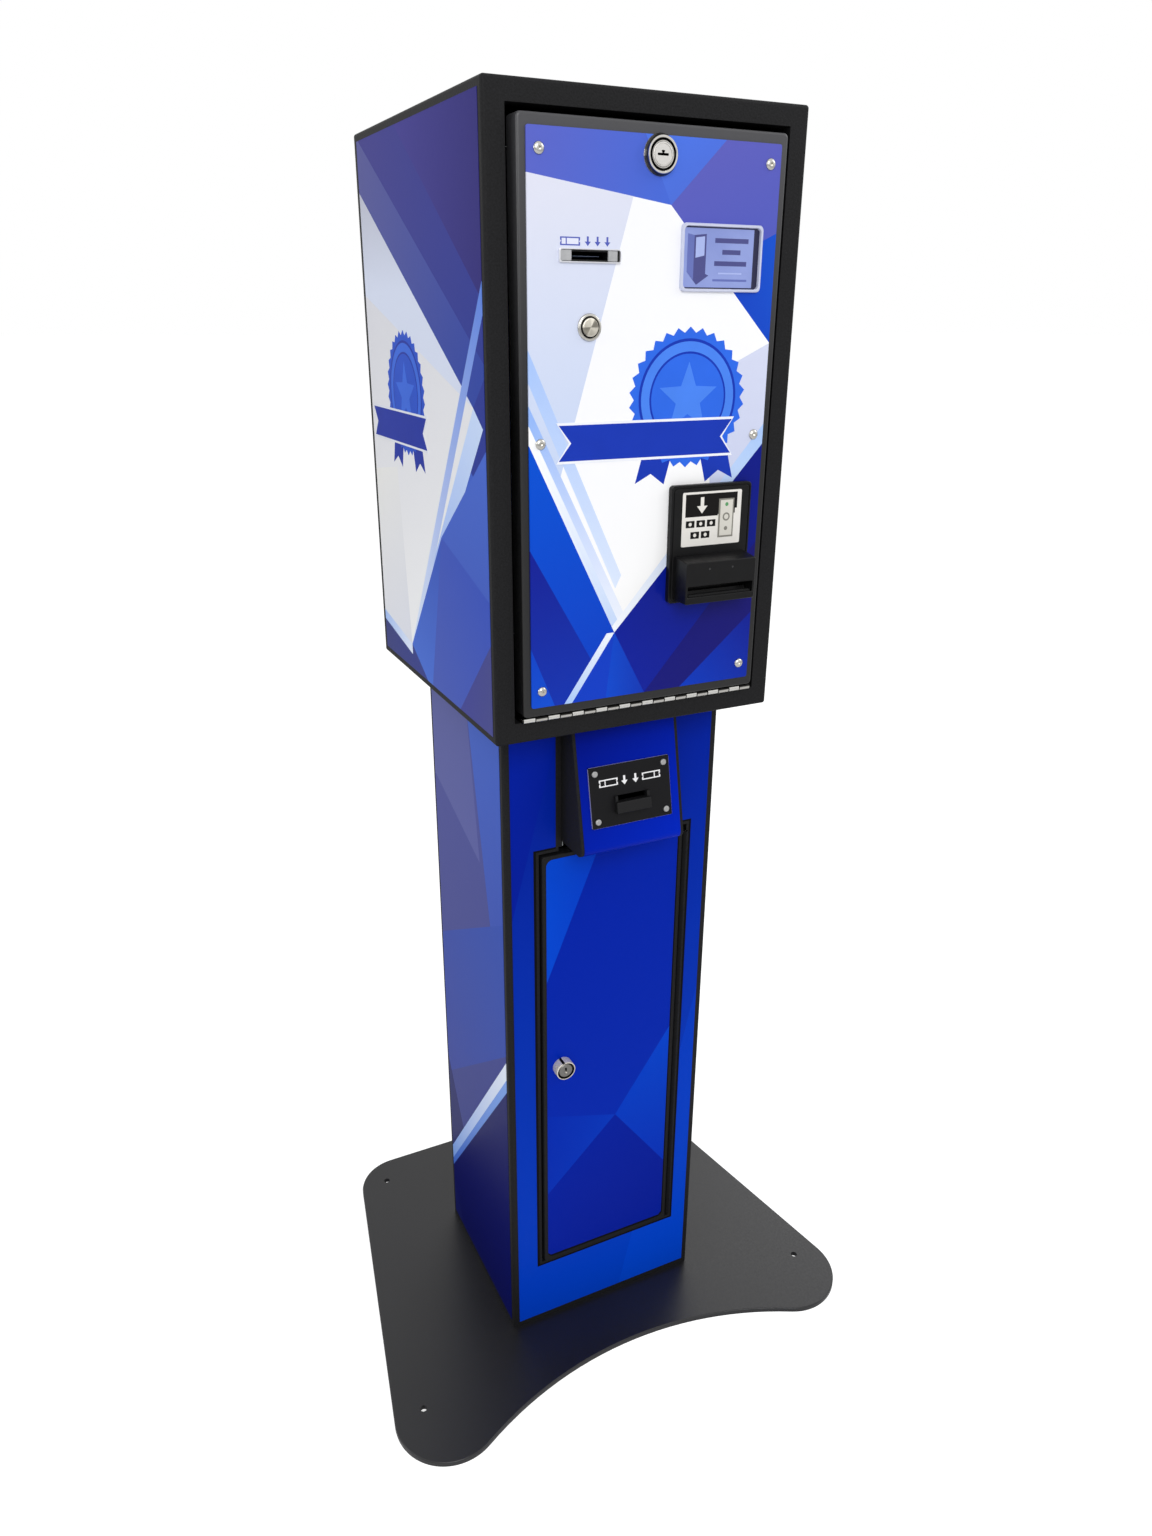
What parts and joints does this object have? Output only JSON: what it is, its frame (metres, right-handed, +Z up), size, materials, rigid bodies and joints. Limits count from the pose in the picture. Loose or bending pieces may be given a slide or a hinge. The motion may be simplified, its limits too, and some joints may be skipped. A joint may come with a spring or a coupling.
{
  "type": "raffle ticket dispenser",
  "caption": "Floor-standing kiosk that takes banknotes and dispenses raffle tickets: lockable head with drop-down door on a pedestal column with a bin door and base plate.",
  "frame": {"origin": "on the floor, at the middle of the base plate", "axes": "+Z up, -Y towards the user, +X to the user's right"},
  "size_m": [0.6096, 0.4952, 1.3716],
  "materials": {
    "base_coat": "satin charcoal powder coat",
    "frame_coat": "fine-texture black powder coat",
    "door_coat": "satin dark grey powder coat",
    "wrap_film": "printed satin film in blues and white",
    "door_print": "glossy reverse-printed clear sheet in blues and white",
    "hinge_steel": "bright steel hinge",
    "black_hinge": "black-coated steel hinge",
    "zinc_steel": "zinc-plated steel",
    "stainless": "brushed stainless steel",
    "lock_chrome": "polished nickel-chrome",
    "bezel_aluminium": "satin anodised aluminium",
    "black_plastic": "fine-grain black moulded plastic",
    "clear_plastic": "clear moulded window",
    "screen": "lit blue display behind glass",
    "label_print": "printed pictogram label",
    "grey_plastic": "dark grey moulded plastic",
    "galvanised": "plain galvanised sheet",
    "roller_rubber": "matt rubber on a steel shaft",
    "ticket_card": "uncoated orange ticket card",
    "board_green": "green circuit board"
  },
  "bodies": {
    "cabinet": {"base_plate": "base_coat", "base_bolts": "zinc_steel", "column_shell": "frame_coat", "column_foot_flange": "frame_coat", "column_top_flange": "frame_coat", "column_graphics": "wrap_film", "chute_hood": "frame_coat", "hood_graphic": "wrap_film", "slot_plate": "black_plastic", "slot_lip": "black_plastic", "slot_plate_screws": "stainless", "chute_deflector": "galvanised", "ticket_bin": "grey_plastic", "pedestal_hinge_frame_leaf": "black_hinge", "pedestal_hinge_pin": "hinge_steel", "cabinet_shell": "frame_coat", "cabinet_back": "frame_coat", "back_screws": "zinc_steel", "cabinet_graphics": "wrap_film", "cabinet_fixings": "zinc_steel", "head_hinge_frame_leaf": "hinge_steel", "head_hinge_pin": "hinge_steel", "power_supply": "galvanised", "control_board": "board_green", "power_inlet": "black_plastic"},
    "head_door": {"head_door": "door_coat", "door_graphic": "door_print", "door_graphic_screws": "stainless", "head_hinge_door_leaf": "hinge_steel", "head_lock_body": "lock_chrome", "head_lock_nut": "zinc_steel", "button_housing": "stainless", "button_nut": "stainless", "ticket_exit_bezel": "bezel_aluminium", "feed_chassis": "galvanised", "feed_motor": "grey_plastic", "ticket_guide": "galvanised", "ticket_strip": "ticket_card", "roll_bracket": "galvanised", "roll_retainer": "black_plastic", "lcd_window": "clear_plastic", "lcd_module": "screen", "bill_bezel": "black_plastic", "bill_label": "label_print", "bill_validator": "grey_plastic"},
    "head_lock": {"head_lock_plug": "stainless", "head_lock_cam": "zinc_steel"},
    "push_button": {"button_cap": "stainless"},
    "feed_roller": {"drive_roller": "roller_rubber"},
    "idler": {"idler_roller": "roller_rubber"},
    "roll": {"ticket_roll": "ticket_card"},
    "cash_box": {"cash_box": "black_plastic"},
    "pedestal_door": {"pedestal_door": "frame_coat", "pedestal_door_graphic": "wrap_film", "pedestal_hinge_door_leaf": "black_hinge", "pedestal_lock_body": "lock_chrome", "pedestal_lock_nut": "zinc_steel"},
    "pedestal_lock": {"pedestal_lock_plug": "stainless", "pedestal_lock_cam": "zinc_steel"}
  },
  "joints": [
    {"name": "head_door_hinge", "type": "hinge", "parent": "cabinet", "child": "head_door", "pos_m": [0, -0.16605, 0.84935], "axis": [1, 0, 0], "range_deg": [0, 95]},
    {"name": "pedestal_door_hinge", "type": "hinge", "parent": "cabinet", "child": "pedestal_door", "pos_m": [0.0913, -0.11425, 0.38785], "axis": [0, 0, 1], "range_deg": [0, 110]},
    {"name": "head_lock_turn", "type": "hinge", "parent": "head_door", "child": "head_lock", "pos_m": [0, -0.17205, 1.32415], "axis": [0, 1, 0], "range_deg": [0, 90]},
    {"name": "pedestal_lock_turn", "type": "hinge", "parent": "pedestal_door", "child": "pedestal_lock", "pos_m": [-0.0616, -0.11525, 0.39635], "axis": [0, 1, 0], "range_deg": [0, 90]},
    {"name": "button_press", "type": "slide", "parent": "head_door", "child": "push_button", "axis": [0, 1, 0], "range_m": [0, 0.0025], "stiffness_N_per_m": 800},
    {"name": "feed_roller_turn", "type": "hinge", "parent": "head_door", "child": "feed_roller", "pos_m": [-0.0635, -0.13055, 1.2356], "axis": [1, 0, 0], "continuous": true},
    {"name": "idler_roller_turn", "type": "hinge", "parent": "head_door", "child": "idler", "pos_m": [-0.0635, -0.13055, 1.2601], "axis": [1, 0, 0], "continuous": true},
    {"name": "ticket_roll_turn", "type": "hinge", "parent": "head_door", "child": "roll", "pos_m": [-0.0635, -0.06855, 1.09915], "axis": [1, 0, 0], "continuous": true},
    {"name": "cash_box_slide", "type": "slide", "parent": "head_door", "child": "cash_box", "axis": [0, 1, 0], "range_m": [0, 0.1]}
  ],
  "couplings": [
    {"joint": "feed_roller_turn", "follows": "ticket_roll_turn", "ratio": 7.5},
    {"joint": "idler_roller_turn", "follows": "ticket_roll_turn", "ratio": -7.5}
  ]
}
